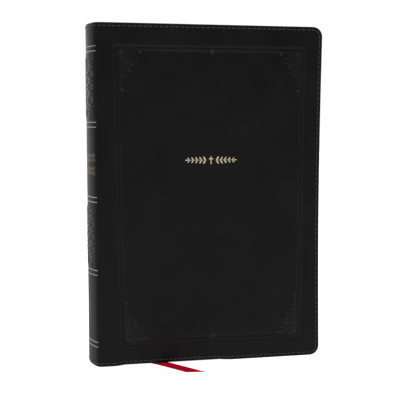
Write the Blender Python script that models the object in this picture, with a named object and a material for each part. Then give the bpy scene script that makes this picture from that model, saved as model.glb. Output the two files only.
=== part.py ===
"""A large-print bible with a limp leathersoft cover, standing on its tail.

+Z runs up the height of the book, -X is the spine, +X the fore edge, -Y the
front cover and +Y the back cover. The book stands on z = 0.
"""

import math

import bmesh
import bpy
from mathutils import Vector

MM = 0.001

# the book as a whole
HEIGHT = 240 * MM
WIDTH = 168 * MM
THICKNESS = 38 * MM
GAP = 0.3 * MM

# the rounded spine: one broad arc, and a small arc at each shoulder
SPINE_RADIUS = 40 * MM
SHOULDER_RADIUS = 5 * MM
SPINE_STEPS = 12
SHOULDER_STEPS = 7

# the layers behind the text block, each measured from the outer face of the spine
SPINE_SKIN = (0, 0.8 * MM)
SPINE_LINING = (1.1 * MM, 1.45 * MM)
MULL = (1.75 * MM, 2.0 * MM)
THREAD = (2.3 * MM, 2.65 * MM)
BLOCK_INSET = 2.3 * MM
LINING_MARGIN = 4 * MM
MULL_MARGIN = 9 * MM

# the layers of a cover, each measured from its outer face
COVER_THICKNESS = 2.4 * MM
COVER_SKIN = 0.6 * MM
TURN_IN = 0.4 * MM
TURN_IN_WIDTH = 8 * MM
BOARD = (0.9 * MM, 1.7 * MM)
PASTEDOWN = (2.15 * MM, 2.4 * MM)
COVER_CORNER = 7 * MM
COVER_EDGE = 0.8 * MM
FORE_EDGE_BOW = 1.2 * MM
FORE_EDGE_STEPS = 10
CORNER_STEPS = 7
PASS = 1 * MM

# the front cover's tail edge is lifted a little where the ribbon passes under it
RELIEF_DEPTH = 0.75 * MM
RELIEF_FROM = 14 * MM
RELIEF_TO = 84 * MM
RELIEF_RAMP = 8 * MM
RELIEF_STEPS = 5

# the text block
SQUARE = 3 * MM
FORE_SQUARE = 3.6 * MM
PAGE_CORNER = 6 * MM
SECTIONS_PER_HALF = 6
FOLD_ROUND = 0.4 * MM
LEAF = 0.3 * MM
LEAF_STEP = 0.6 * MM
BLOCK_FACE = 15.35 * MM
FRONT_BLOCK_FROM = 1.05 * MM
BACK_BLOCK_FROM = 1.65 * MM
FLYLEAF_FROM_HINGE = 1 * MM

# the sewing stations up the spine, and the notches that the threads lie in
SEWING_HEIGHTS = [HEIGHT * share for share in (0.12, 0.31, 0.5, 0.69, 0.88)]
THREAD_WIDTH = 2 * MM
NOTCH_DEPTH = 0.65 * MM

# head and tail bands
BAND_RADIUS = 0.9 * MM
BAND_INSET = 3.4 * MM
BAND_SIDES = 10

# the ribbon marker: its centre line, as x, the distance to the front of the mid-plane, and z
RIBBON_WIDTH = 9.5 * MM
RIBBON_THICKNESS = 0.3 * MM
RIBBON_CUT = 3 * MM
RIBBON_ROUTE = [
    (-76.5, -1.2, 236.0), (-76.2, -1.2, 205.0), (-75.0, -1.2, 165.0), (-72.3, -1.2, 120.0),
    (-68.0, -1.2, 80.0), (-61.0, -1.2, 45.0), (-53.4, -1.2, 20.0), (-49.4, -1.2, 9.0),
    (-48.5, -1.2, 5.0), (-48.3, -1.2, 2.4), (-48.0, -0.6, 0.95), (-47.1, 0.8, 0.3),
    (-45.2, 3.6, 0.2), (-39.9, 10.6, 0.2), (-33.4, 19.0, 0.2), (-24.6, 31.2, 0.2),
    (-14.9, 45.0, 0.2),
]
RIBBON_STEP = 5 * MM
RIBBON_TURNS = (0.2 * MM, 2 * MM)

HINGE_OUT = 0.15 * MM
HALF = THICKNESS / 2
SPINE_X = -WIDTH / 2
SPINE_CENTRE = SPINE_X + SPINE_RADIUS
SHOULDER_ANGLE = math.asin((HALF - SHOULDER_RADIUS) / (SPINE_RADIUS - SHOULDER_RADIUS))
SHOULDER_X = SPINE_CENTRE - (SPINE_RADIUS - SHOULDER_RADIUS) * math.cos(SHOULDER_ANGLE)


def clear_scene():
    """Remove whatever the file opened with."""
    for item in list(bpy.data.objects):
        bpy.data.objects.remove(item, do_unlink=True)


def material(name, colour, roughness, metallic=0.0):
    """A plain Principled material."""
    made = bpy.data.materials.new(name)
    made.use_nodes = True
    shader = made.node_tree.nodes["Principled BSDF"]
    shader.inputs["Base Color"].default_value = (*colour, 1)
    shader.inputs["Roughness"].default_value = roughness
    shader.inputs["Metallic"].default_value = metallic
    return made


def pivot(name, x, y):
    """An empty on a vertical joint axis."""
    empty = bpy.data.objects.new(name, None)
    empty.location = (x, y, 0)
    bpy.context.scene.collection.objects.link(empty)
    return empty


def finish(name, shape, parent, looks, smooth=False):
    """Turn a bmesh drawn in world coordinates into a named object under its pivot."""
    bmesh.ops.recalc_face_normals(shape, faces=shape.faces)
    bmesh.ops.translate(shape, verts=shape.verts, vec=-parent.location)
    mesh = bpy.data.meshes.new(name)
    shape.to_mesh(mesh)
    shape.free()
    mesh.materials.append(looks)
    if smooth:
        mesh.shade_smooth()
        mesh.set_sharp_from_angle(angle=math.radians(40))
    piece = bpy.data.objects.new(name, mesh)
    piece.parent = parent
    bpy.context.scene.collection.objects.link(piece)
    return piece


def loft(rings):
    """A closed solid through rings of equal length, capped at both ends."""
    shape = bmesh.new()
    made = [[shape.verts.new(point) for point in ring] for ring in rings]
    for low, high in zip(made, made[1:]):
        for i, corner in enumerate(low):
            after = (i + 1) % len(low)
            shape.faces.new((corner, low[after], high[after], high[i]))
    shape.faces.new(made[0])
    shape.faces.new(list(reversed(made[-1])))
    return shape


def cut(piece, cutter):
    """Take the cutter out of the piece."""
    cutter.hide_render = True
    cutter.display_type = "WIRE"
    boolean = piece.modifiers.new("cut", "BOOLEAN")
    boolean.operation = "DIFFERENCE"
    boolean.solver = "EXACT"
    boolean.object = cutter


def arc(centre_x, centre_z, radius, start, end, steps):
    """Points along an arc, with the angles in degrees."""
    points = []
    for i in range(steps + 1):
        angle = math.radians(start + (end - start) * i / steps)
        points.append((centre_x + radius * math.cos(angle), centre_z + radius * math.sin(angle)))
    return points


def back_x(distance, inset):
    """Where the broad arc of the spine is, at a distance from the mid-plane."""
    return SPINE_CENTRE - math.sqrt((SPINE_RADIUS - inset) ** 2 - distance**2)


def spine_curve(inset, reach):
    """The spine from near the mid-plane to its shoulder, as (x, distance from the mid-plane)."""
    radius = SPINE_RADIUS - inset
    first = math.asin(GAP / 2 / radius)
    points = []
    for i in range(SPINE_STEPS + 1):
        angle = first + (SHOULDER_ANGLE - first) * i / SPINE_STEPS
        points.append((SPINE_CENTRE - radius * math.cos(angle), radius * math.sin(angle)))
    radius = SHOULDER_RADIUS - inset
    for i in range(1, SHOULDER_STEPS + 1):
        angle = SHOULDER_ANGLE + (reach - SHOULDER_ANGLE) * i / SHOULDER_STEPS
        points.append((SHOULDER_X - radius * math.cos(angle),
                       HALF - SHOULDER_RADIUS + radius * math.sin(angle)))
    return points


def spine_band(layer, low, high, side, reach=math.pi / 2):
    """A curved strip that follows one half of the spine."""
    outer = spine_curve(layer[0], reach)
    inner = spine_curve(layer[1], reach)
    outline = outer + inner[::-1]
    return loft([[(x, side * away, z) for x, away in outline] for z in (low, high)])


def block_band(layer, low, high, side, start, end):
    """A curved strip behind one half of the text block, between two distances."""
    steps = SPINE_STEPS
    span = [start + (end - start) * i / steps for i in range(steps + 1)]
    outline = [(back_x(away, layer[0]), away) for away in span]
    outline += [(back_x(away, layer[1]), away) for away in reversed(span)]
    return loft([[(x, side * away, z) for x, away in outline] for z in (low, high)])


def page_ring(y, back, fore, inset=0.0):
    """The outline of a page at one depth, with rounded corners at the fore edge."""
    low = SQUARE + inset
    high = HEIGHT - SQUARE - inset
    radius = PAGE_CORNER
    outline = [(back, low)]
    outline += arc(fore - radius, low + radius, radius, -90, 0, CORNER_STEPS)
    outline += arc(fore - radius, high - radius, radius, 0, 90, CORNER_STEPS)
    outline += [(back, high)]
    return [(x, y, z) for x, z in outline]


def fore_x(distance):
    """Where the concave fore edge of the text block is, at a distance from the mid-plane."""
    at_cover = WIDTH / 2 - FORE_SQUARE
    return at_cover + back_x(distance, BLOCK_INSET) - back_x(BLOCK_FACE, BLOCK_INSET)


def section(side, start, end):
    """One folded section of pages: a rounded fold at the back, and the slant of the fore edge."""
    rings = []
    for share, recess in ((0, 1), (0.12, 0.45), (0.3, 0.1), (0.5, 0), (0.7, 0.1), (0.88, 0.45), (1, 1)):
        away = start + (end - start) * share
        back = back_x(away, BLOCK_INSET) + FOLD_ROUND * recess
        rings.append(page_ring(side * away, back, fore_x(away)))
    return loft(rings)


def leaf(centre, back, side=-1):
    """A single leaf at a distance to one side of the mid-plane."""
    rings = []
    for share in (-0.5, 0.5):
        away = centre + LEAF * share
        rings.append(page_ring(side * away, back, fore_x(away)))
    return loft(rings)


def relief(run, depth):
    """How far the tail edge is lifted at a distance from the hinge."""
    up = min(1, max(0, (run - RELIEF_FROM + RELIEF_RAMP) / RELIEF_RAMP))
    down = min(1, max(0, (RELIEF_TO + RELIEF_RAMP - run) / RELIEF_RAMP))
    share = min(up, down)
    return depth * share * share * (3 - 2 * share)


def cover_outline(inset, hinge_inset, depth):
    """The outline of a cover's layer as (x, z), counter-clockwise from its tail at the hinge."""
    start = SHOULDER_X + GAP + hinge_inset
    end = WIDTH / 2
    radius = COVER_CORNER - inset if inset < COVER_CORNER else PASS
    low = inset
    high = HEIGHT - inset
    runs = [hinge_inset + GAP]
    for ramp in (RELIEF_FROM - RELIEF_RAMP, RELIEF_TO):
        runs += [ramp + RELIEF_RAMP * i / RELIEF_STEPS for i in range(RELIEF_STEPS + 1)]
    outline = [(start, low)]
    outline += [(SHOULDER_X + run, low + relief(run, depth)) for run in runs[1:]]
    outline += arc(end - inset - radius, low + radius, radius, -90, 0, CORNER_STEPS)
    straight = high - low - 2 * radius
    for i in range(1, FORE_EDGE_STEPS):
        share = i / FORE_EDGE_STEPS
        bow = FORE_EDGE_BOW * math.sin(math.pi * share)
        outline.append((end - inset - bow, low + radius + straight * share))
    outline += arc(end - inset - radius, high - radius, radius, 0, 90, CORNER_STEPS)
    outline += [(start, high)]
    return outline


def cover_layer(side, layer, inset, hinge_inset, depth):
    """A flat layer of a cover, between two depths under its outer face."""
    outline = cover_outline(inset, hinge_inset, depth)
    return loft([[(x, side * (HALF - below), z) for x, z in outline] for below in layer])


def cover_skin(side, depth):
    """The solid outer shape of a cover, with a rounded rim on every side but the hinge's."""
    rings = []
    for degrees in (90, 60, 30, 0):
        angle = math.radians(degrees)
        inset = COVER_EDGE * (1 - math.cos(angle))
        below = COVER_EDGE * (1 - math.sin(angle))
        rings.append((inset, below))
    rings.append((0, COVER_THICKNESS))
    return loft([[(x, side * (HALF - below), z) for x, z in cover_outline(inset, 0, depth)]
                 for inset, below in rings])


def cover(name, side, parent, depth, looks):
    """A limp cover: its skin with turned-in edges, the card inside it and its pastedown."""
    skin = finish(name + "_cover_skin", cover_skin(side, depth), parent, looks["leathersoft"])
    pocket_layer = (COVER_SKIN, COVER_THICKNESS - TURN_IN)
    pocket = cover_layer(side, pocket_layer, COVER_SKIN, -PASS, depth)
    window_layer = (COVER_THICKNESS - TURN_IN - PASS, COVER_THICKNESS + PASS)
    window = cover_layer(side, window_layer, TURN_IN_WIDTH, -PASS, 0)
    cut(skin, finish(name + "_pocket_cutter", pocket, parent, looks["leathersoft"]))
    cut(skin, finish(name + "_window_cutter", window, parent, looks["leathersoft"]))
    board = cover_layer(side, BOARD, COVER_SKIN + GAP, GAP, depth)
    finish(name + "_cover_card", board, parent, looks["card"])
    paste = cover_layer(side, PASTEDOWN, TURN_IN_WIDTH + GAP, GAP, 0)
    finish(name + "_pastedown", paste, parent, looks["endpaper"])


def band_roll(side, start, height):
    """A head or tail band: a small roll along the back of one half of the text block."""
    rings = []
    for i in range(SPINE_STEPS + 1):
        away = start + (BLOCK_FACE - start) * i / SPINE_STEPS
        middle = Vector((back_x(away, BAND_INSET), side * away, height))
        outward = Vector((middle.x - SPINE_CENTRE, middle.y, 0)).normalized()
        ring = []
        for k in range(BAND_SIDES):
            angle = 2 * math.pi * k / BAND_SIDES
            ring.append(middle + outward * BAND_RADIUS * math.cos(angle)
                        + Vector((0, 0, BAND_RADIUS * math.sin(angle))))
        rings.append(ring)
    return loft(rings)


def spine_half(name, side, start, parent, looks):
    """Everything that is glued behind one half of the text block."""
    skin = spine_band(SPINE_SKIN, 0, HEIGHT, side)
    finish("spine_skin_" + name, skin, parent, looks["leathersoft"], smooth=True)
    lining = spine_band(SPINE_LINING, LINING_MARGIN, HEIGHT - LINING_MARGIN, side, SHOULDER_ANGLE * 2)
    finish("spine_lining_" + name, lining, parent, looks["card"], smooth=True)
    mull = block_band(MULL, MULL_MARGIN, HEIGHT - MULL_MARGIN, side, GAP / 2, BLOCK_FACE)
    finish("mull_" + name, mull, parent, looks["mull"], smooth=True)
    off_edge = SQUARE - GAP - BAND_RADIUS
    head = band_roll(side, start, HEIGHT - off_edge)
    finish("headband_" + name, head, parent, looks["band"], smooth=True)
    tail = band_roll(side, start, off_edge)
    finish("tailband_" + name, tail, parent, looks["band"], smooth=True)


def sewn_block(name, side, start, parent, looks):
    """Half of the text block: its folded sections, notched for the sewing threads."""
    span = BLOCK_FACE - start
    thick = (span - GAP * (SECTIONS_PER_HALF - 1)) / SECTIONS_PER_HALF
    notches = bmesh.new()
    for number, height in enumerate(SEWING_HEIGHTS, 1):
        half = THREAD_WIDTH / 2
        thread = block_band(THREAD, height - half, height + half, side, start, BLOCK_FACE)
        finish(f"sewing_thread_{name}_{number}", thread, parent, looks["thread"])
        layer = (THREAD[0] - GAP, BLOCK_INSET + NOTCH_DEPTH)
        notch = block_band(layer, height - half - GAP, height + half + GAP, side, start - PASS,
                           BLOCK_FACE + PASS)
        bmesh.ops.recalc_face_normals(notch, faces=notch.faces)
        spare = bpy.data.meshes.new("notch")
        notch.to_mesh(spare)
        notch.free()
        notches.from_mesh(spare)
        bpy.data.meshes.remove(spare)
    cutter = finish(f"{name}_notch_cutter", notches, parent, looks["paper"])
    for number in range(SECTIONS_PER_HALF):
        low = start + (thick + GAP) * number
        piece = finish(f"section_{name}_{number + 1}", section(side, low, low + thick), parent,
                       looks["paper"])
        cut(piece, cutter)


def smooth_route(points, step):
    """Points on the smooth curve through the route's own points, at least three to a span."""
    smooth = []
    for i in range(len(points) - 1):
        before = points[max(i - 1, 0)]
        start = points[i]
        end = points[i + 1]
        after = points[min(i + 2, len(points) - 1)]
        reach = (end - start).length / 3
        leave = start + (end - before).normalized() * reach
        arrive = end - (after - start).normalized() * reach
        steps = max(3, round((end - start).length / step))
        for k in range(steps):
            t = k / steps
            rest = 1 - t
            smooth.append(start * rest**3 + leave * 3 * t * rest**2
                          + arrive * 3 * t * t * rest + end * t**3)
    smooth.append(points[-1])
    return smooth


def ramp(value, low, high):
    """0 below low, 1 above high, and straight between them."""
    return min(1, max(0, (value - low) / (high - low)))


def ribbon(parent, looks):
    """The ribbon marker: flat in the block, then laid along the floor to a slanting cut."""
    route = [Vector((x, -ahead, z)) * MM for x, ahead, z in RIBBON_ROUTE]
    points = smooth_route(route, RIBBON_STEP)
    rings = []
    for i, point in enumerate(points):
        along = (points[min(i + 1, len(points) - 1)] - points[max(i - 1, 0)]).normalized()
        lying = Vector((-along.y, along.x, 0))
        hanging = Vector((-along.z, 0, along.x))
        across = lying.lerp(Vector((1, 0, 0)), ramp(point.z, *RIBBON_TURNS))
        across = across.lerp(hanging, ramp(point.z, RIBBON_TURNS[1], SQUARE * 2)).normalized()
        face = along.cross(across).normalized()
        wide = across * RIBBON_WIDTH / 2
        thin = face * RIBBON_THICKNESS / 2
        shift = along * (-RIBBON_CUT if i == len(points) - 1 else 0)
        rings.append([point + wide + thin - shift, point - wide + thin + shift,
                      point - wide - thin + shift, point + wide - thin - shift])
    finish("ribbon", loft(rings), parent, looks["ribbon"])


def build():
    """The whole book."""
    clear_scene()
    looks = {
        "leathersoft": material("leathersoft", (0.012, 0.011, 0.011), 0.5),
        "card": material("card", (0.42, 0.36, 0.28), 0.9),
        "endpaper": material("endpaper", (0.02, 0.019, 0.019), 0.7),
        "paper": material("paper", (0.82, 0.79, 0.7), 0.85),
        "mull": material("mull", (0.7, 0.68, 0.6), 0.9),
        "thread": material("thread", (0.8, 0.78, 0.7), 0.8),
        "band": material("band", (0.55, 0.42, 0.15), 0.6),
        "ribbon": material("ribbon", (0.30, 0.004, 0.02), 0.35),
    }
    middle = pivot("middle_pivot", SPINE_X - HINGE_OUT, 0)
    front = pivot("front_cover_pivot", SHOULDER_X, -HALF - HINGE_OUT)
    back = pivot("back_cover_pivot", SHOULDER_X, HALF + HINGE_OUT)
    flyleaf_away = BLOCK_FACE + GAP + LEAF / 2
    flyleaf_back = SHOULDER_X + FLYLEAF_FROM_HINGE
    cover("front", -1, front, RELIEF_DEPTH, looks)
    cover("back", 1, back, 0, looks)
    spine_half("front", -1, FRONT_BLOCK_FROM, middle, looks)
    spine_half("back", 1, BACK_BLOCK_FROM, middle, looks)
    sewn_block("front", -1, FRONT_BLOCK_FROM, middle, looks)
    sewn_block("back", 1, BACK_BLOCK_FROM, middle, looks)
    for name, side in (("front", -1), ("back", 1)):
        hinge = pivot(name + "_flyleaf_pivot", flyleaf_back, side * flyleaf_away)
        shape = leaf(flyleaf_away, flyleaf_back, side)
        finish(name + "_flyleaf", shape, hinge, looks["endpaper"])
    for number in (1, 2, 3):
        away = LEAF_STEP * (2 - number)
        shape = leaf(away, back_x(away, BLOCK_INSET))
        finish(f"leaf_{number}", shape, middle, looks["paper"])
    ribbon(middle, looks)


build()
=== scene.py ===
import math
import random

import bmesh
import bpy
from mathutils import Matrix, Vector, noise
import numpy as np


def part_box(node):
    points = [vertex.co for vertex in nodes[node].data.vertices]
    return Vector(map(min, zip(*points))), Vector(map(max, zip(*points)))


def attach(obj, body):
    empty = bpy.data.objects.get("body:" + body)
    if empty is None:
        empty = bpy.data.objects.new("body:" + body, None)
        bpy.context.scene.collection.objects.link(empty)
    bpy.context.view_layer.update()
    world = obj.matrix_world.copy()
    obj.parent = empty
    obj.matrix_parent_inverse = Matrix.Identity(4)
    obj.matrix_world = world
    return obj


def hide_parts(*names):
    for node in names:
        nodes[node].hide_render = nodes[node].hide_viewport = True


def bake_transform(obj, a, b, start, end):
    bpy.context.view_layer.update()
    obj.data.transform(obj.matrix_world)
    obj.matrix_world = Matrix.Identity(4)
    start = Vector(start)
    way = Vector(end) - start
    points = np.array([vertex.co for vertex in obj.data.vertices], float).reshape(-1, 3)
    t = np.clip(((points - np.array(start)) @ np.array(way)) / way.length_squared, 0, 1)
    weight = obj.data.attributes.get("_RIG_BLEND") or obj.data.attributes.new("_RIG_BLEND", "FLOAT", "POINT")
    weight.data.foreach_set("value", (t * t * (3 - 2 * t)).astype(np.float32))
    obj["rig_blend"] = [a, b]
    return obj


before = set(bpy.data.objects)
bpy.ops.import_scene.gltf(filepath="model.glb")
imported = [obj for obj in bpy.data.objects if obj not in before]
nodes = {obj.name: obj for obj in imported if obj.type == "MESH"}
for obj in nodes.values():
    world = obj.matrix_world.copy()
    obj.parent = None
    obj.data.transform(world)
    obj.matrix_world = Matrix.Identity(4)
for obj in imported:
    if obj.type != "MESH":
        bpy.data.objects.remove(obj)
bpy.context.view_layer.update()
mm = 0.001
print("frame loaded:", len(nodes), "nodes")

# the book's own measures come from the frame, and the two radii of the spine from its design
coverLow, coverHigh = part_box("front_cover_skin")
spineLow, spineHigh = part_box("spine_skin_front")
blockLow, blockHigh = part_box("section_front_6")
height = coverHigh.z
foreEdge = coverHigh.x
halfThick = -coverLow.y
spineRadius = 40 * mm
shoulderRadius = 5 * mm
spineCentre = spineLow.x + spineRadius
shoulderAngle = math.asin((halfThick - shoulderRadius) / (spineRadius - shoulderRadius))
shoulderX = spineCentre - (spineRadius - shoulderRadius) * math.cos(shoulderAngle)

# distances round the outside of the case, from the middle of the spine: front is positive
spineRun = spineRadius * shoulderAngle
shoulderRun = spineRun + shoulderRadius * (math.pi / 2 - shoulderAngle)
outerRun = shoulderRun + foreEdge - shoulderX
cutRun = shoulderRun - 0.66 * mm


# ---- small helpers: easing, nodes, pieces


def smooth(value):
    value = min(1, max(0, value))
    return value * value * (3 - 2 * value)


def between(start, end, share):
    return start + (end - start) * share


# a shader node: an input is either a number or another node's socket
def addNode(tree, kind, inputs=None, **settings):
    node = tree.nodes.new("ShaderNode" + kind)
    for key, value in settings.items():
        setattr(node, key, value)
    for key, value in (inputs or {}).items():
        setInput(tree, node, key, value)
    return node


def setInput(tree, node, key, value):
    if isinstance(value, bpy.types.NodeSocket):
        tree.links.new(value, node.inputs[key])
    else:
        node.inputs[key].default_value = value


def doMath(tree, operation, first, second=0.0):
    node = addNode(tree, "Math", {0: first, 1: second}, operation=operation)
    return node.outputs[0]


def newMaterial(name, **numbers):
    made = bpy.data.materials.new(name)
    made.use_nodes = True
    tree = made.node_tree
    shader = tree.nodes["Principled BSDF"]
    for key, value in numbers.items():
        shader.inputs[key].default_value = value
    return made, tree, shader


def objectPlace(tree, scale=(1, 1, 1)):
    place = addNode(tree, "TexCoord")
    stretched = addNode(tree, "Mapping", {"Vector": place.outputs["Object"], "Scale": scale})
    return stretched.outputs[0]


def noiseOf(tree, place, scale, detail=3.0, roughness=0.5):
    node = addNode(tree, "TexNoise", {"Vector": place, "Scale": scale, "Detail": detail,
                                      "Roughness": roughness})
    return node.outputs[0]


def spread(tree, value, low, high, newLow, newHigh):
    node = addNode(tree, "MapRange", {"Value": value, "From Min": low, "From Max": high,
                                      "To Min": newLow, "To Max": newHigh})
    return node.outputs[0]


def mixColour(tree, share, first, second):
    node = tree.nodes.new("ShaderNodeMix")
    node.data_type = "RGBA"
    for index, value in ((0, share), (6, first), (7, second)):
        setInput(tree, node, index, value)
    return node.outputs[2]


def bumpOf(tree, value, distance, under=None, strength=1.0):
    node = addNode(tree, "Bump", {"Height": value, "Distance": distance, "Strength": strength})
    if under is not None:
        tree.links.new(under, node.inputs["Normal"])
    return node.outputs[0]


def addPiece(name, shape, finish, sharpAngle=38):
    mesh = bpy.data.meshes.new(name)
    shape.to_mesh(mesh)
    shape.free()
    mesh.materials.append(finish)
    mesh.shade_smooth()
    mesh.set_sharp_from_angle(angle=math.radians(sharpAngle))
    piece = bpy.data.objects.new(name, mesh)
    bpy.context.scene.collection.objects.link(piece)
    return piece


# ---- how a piece moves: across the middle of the spine, across a cover's hinge, or with one body

bends = {
    "middle": 1.5 * mm,
    "hingeFrom": -76.85 * mm,
    "hingeTo": -74.6 * mm,
}


def bendAtMiddle(piece):
    reach = bends["middle"]
    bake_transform(piece, "front_half", "back_half", start=(spineLow.x, -reach, 0), end=(spineLow.x, reach, 0))


def bendAtHinge(piece, side):
    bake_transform(piece, side + "_half", side + "_cover", start=(bends["hingeFrom"], 0, 0),
             end=(bends["hingeTo"], 0, 0))


# ---- camera, floor and light

view = {
    "place": (-0.1409, -0.6298, 0.1732),
    "turn": (84.86, 0, -12.43),
    "lens": 79.7,
    "sensor": 36,
}


def addCamera():
    data = bpy.data.cameras.new("camera")
    data.lens = view["lens"]
    data.sensor_width = view["sensor"]
    data.clip_start = 0.01
    camera = bpy.data.objects.new("camera", data)
    camera.location = view["place"]
    camera.rotation_euler = [math.radians(angle) for angle in view["turn"]]
    bpy.context.scene.collection.objects.link(camera)
    bpy.context.scene.camera = camera


studio = {
    "floorSize": 8,
    "floorGlow": 0.9,
    "floorBounce": 0.55,
    "floorColour": (0.8, 0.8, 0.8, 1),
    "skyForCamera": 1.05,
    "roomDark": 0.1,
    "roomBright": 1.08,
    "roomFall": 3.5,
    "lights": [
        # name, place, aimed at, width, height, power
        ("softTop", (-0.1, -0.5, 1.3), (0, 0, 0.1), 0.9, 0.6, 9),
        ("sideLeft", (-1.3, -0.15, 0.45), (-0.05, 0, 0.12), 0.6, 1.0, 1.6),
        ("fillRight", (1.1, -0.5, 0.5), (0, 0, 0.12), 0.6, 0.9, 2),
        ("behindLeft", (-0.5, 1.2, 0.5), (-0.05, 0, 0.12), 0.8, 1.0, 3),
    ],
}


def addLight(name, place, target, wide, high, power):
    data = bpy.data.lights.new(name, "AREA")
    data.shape = "RECTANGLE"
    data.size = wide
    data.size_y = high
    data.energy = power
    light = bpy.data.objects.new(name, data)
    light.location = place
    light.rotation_euler = (Vector(target) - Vector(place)).to_track_quat("-Z", "Y").to_euler()
    bpy.context.scene.collection.objects.link(light)


# a white room: plain white where it is looked at, and dimmer in front of the book than behind it
def addRoom():
    world = bpy.data.worlds.new("room")
    world.use_nodes = True
    bpy.context.scene.world = world
    tree = world.node_tree
    background = tree.nodes["Background"]
    direction = addNode(tree, "TexCoord").outputs["Generated"]
    parts = addNode(tree, "SeparateXYZ", {0: direction}).outputs
    toBack = doMath(tree, "POWER", spread(tree, parts[1], -1, 1, 0, 1), studio["roomFall"])
    room = spread(tree, toBack, 0, 1, studio["roomDark"], studio["roomBright"])
    seen = addNode(tree, "LightPath").outputs["Is Camera Ray"]
    strength = addNode(tree, "Mix", {0: seen, 2: room, 3: studio["skyForCamera"]})
    tree.links.new(strength.outputs[0], background.inputs["Strength"])
    background.inputs["Color"].default_value = (1, 1, 1, 1)


# the floor glows brighter where it is looked at than where it lights the book
def addFloor():
    shape = bmesh.new()
    bmesh.ops.create_grid(shape, x_segments=1, y_segments=1, size=studio["floorSize"] / 2)
    mesh = bpy.data.meshes.new("floor")
    shape.to_mesh(mesh)
    shape.free()
    floor = bpy.data.objects.new("floor", mesh)
    bpy.context.scene.collection.objects.link(floor)
    finish, tree, shader = newMaterial("paleFloor", Roughness=0.6)
    shader.inputs["Base Color"].default_value = studio["floorColour"]
    shader.inputs["Emission Color"].default_value = (1, 1, 1, 1)
    seen = addNode(tree, "LightPath").outputs["Is Camera Ray"]
    glow = addNode(tree, "Mix", {0: seen, 2: studio["floorBounce"], 3: studio["floorGlow"]})
    tree.links.new(glow.outputs[0], shader.inputs["Emission Strength"])
    mesh.materials.append(finish)


bpy.context.scene.view_settings.view_transform = "Standard"
addCamera()
addRoom()
addFloor()
for lightFacts in studio["lights"]:
    addLight(*lightFacts)
print("camera, floor and light are set")


# ---- finishes

leather = {
    "dark": (0.0045, 0.0038, 0.004, 1),
    "light": (0.0075, 0.0064, 0.0066, 1),
    "worn": (0.022, 0.02, 0.019, 1),
    "shine": 0.125,
    "pressedShine": 0.42,
    "smooth": 0.43,
    "rough": 0.54,
    "burnish": 0.17,
    "grain": 1500,
    "grainDepth": 0.05 * mm,
    "crease": 160,
    "mottle": 35.0,
    "patch": 240.0,
    "wornEdge": 1.2 * mm,
    "creaseDepth": 0.05 * mm,
}


# the hot tool leaves the leathersoft smoother and shinier: everywhere, or where the mesh says it was pressed
def leathersoftFinish(name, allPressed=0.0):
    finish, tree, shader = newMaterial(name)
    place = objectPlace(tree)
    cells = addNode(tree, "TexVoronoi", {"Vector": place, "Scale": leather["grain"]},
                    feature="SMOOTH_F1").outputs["Distance"]
    mottle = noiseOf(tree, place, leather["mottle"], 5.0, 0.6)
    fine = noiseOf(tree, place, leather["grain"] * 1.7, 2.0)
    colour = mixColour(tree, spread(tree, mottle, 0.3, 0.7, 0, 1), leather["dark"], leather["light"])
    # rubbed paler along the head, the tail and the fore edge
    parts = addNode(tree, "SeparateXYZ", {0: place}).outputs
    fromMiddle = doMath(tree, "ABSOLUTE", doMath(tree, "SUBTRACT", parts[2], height / 2))
    atEnds = spread(tree, fromMiddle, height / 2 - leather["wornEdge"], height / 2, 0, 1)
    atFore = spread(tree, parts[0], foreEdge - leather["wornEdge"], foreEdge, 0, 1)
    edge = doMath(tree, "MAXIMUM", atEnds, atFore)
    patches = spread(tree, noiseOf(tree, place, leather["patch"], 4.0, 0.7), 0.48, 0.7, 0, 0.6)
    worn = doMath(tree, "MULTIPLY", edge, patches)
    colour = mixColour(tree, worn, colour, leather["worn"])
    tree.links.new(colour, shader.inputs["Base Color"])
    pressed = addNode(tree, "Attribute", attribute_name="pressed").outputs["Fac"]
    pressed = doMath(tree, "MAXIMUM", pressed, allPressed)
    rough = spread(tree, mottle, 0.25, 0.75, leather["smooth"], leather["rough"])
    rough = doMath(tree, "SUBTRACT", rough, doMath(tree, "MULTIPLY", pressed, leather["burnish"]))
    tree.links.new(rough, shader.inputs["Roughness"])
    shine = doMath(tree, "MULTIPLY_ADD", pressed, leather["pressedShine"])
    shine.node.inputs[2].default_value = leather["shine"]
    tree.links.new(shine, shader.inputs["Specular IOR Level"])
    creases = noiseOf(tree, place, leather["crease"], 6.0, 0.62)
    normal = bumpOf(tree, creases, leather["creaseDepth"])
    normal = bumpOf(tree, cells, leather["grainDepth"], normal, 0.8)
    normal = bumpOf(tree, fine, leather["grainDepth"] * 0.5, normal, 0.6)
    tree.links.new(normal, shader.inputs["Normal"])
    return finish


def goldFoilFinish(name, dark, light):
    finish, tree, shader = newMaterial(name, Metallic=0.6)
    place = objectPlace(tree)
    rubbed = noiseOf(tree, place, 900.0, 4.0, 0.6)
    colour = mixColour(tree, spread(tree, rubbed, 0.35, 0.65, 0, 1), dark, light)
    tree.links.new(colour, shader.inputs["Base Color"])
    tree.links.new(spread(tree, rubbed, 0.3, 0.7, 0.42, 0.6), shader.inputs["Roughness"])
    tree.links.new(bumpOf(tree, rubbed, 0.02 * mm), shader.inputs["Normal"])
    return finish


def threadFinish(name, dark, light, twist):
    finish, tree, shader = newMaterial(name, Roughness=0.55)
    place = objectPlace(tree)
    wave = addNode(tree, "TexWave", {"Vector": place, "Scale": twist, "Distortion": 0.6},
                   bands_direction="DIAGONAL").outputs["Fac"]
    tree.links.new(mixColour(tree, wave, dark, light), shader.inputs["Base Color"])
    tree.links.new(bumpOf(tree, wave, 0.05 * mm), shader.inputs["Normal"])
    shader.inputs["Sheen Weight"].default_value = 0.1
    return finish


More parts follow.
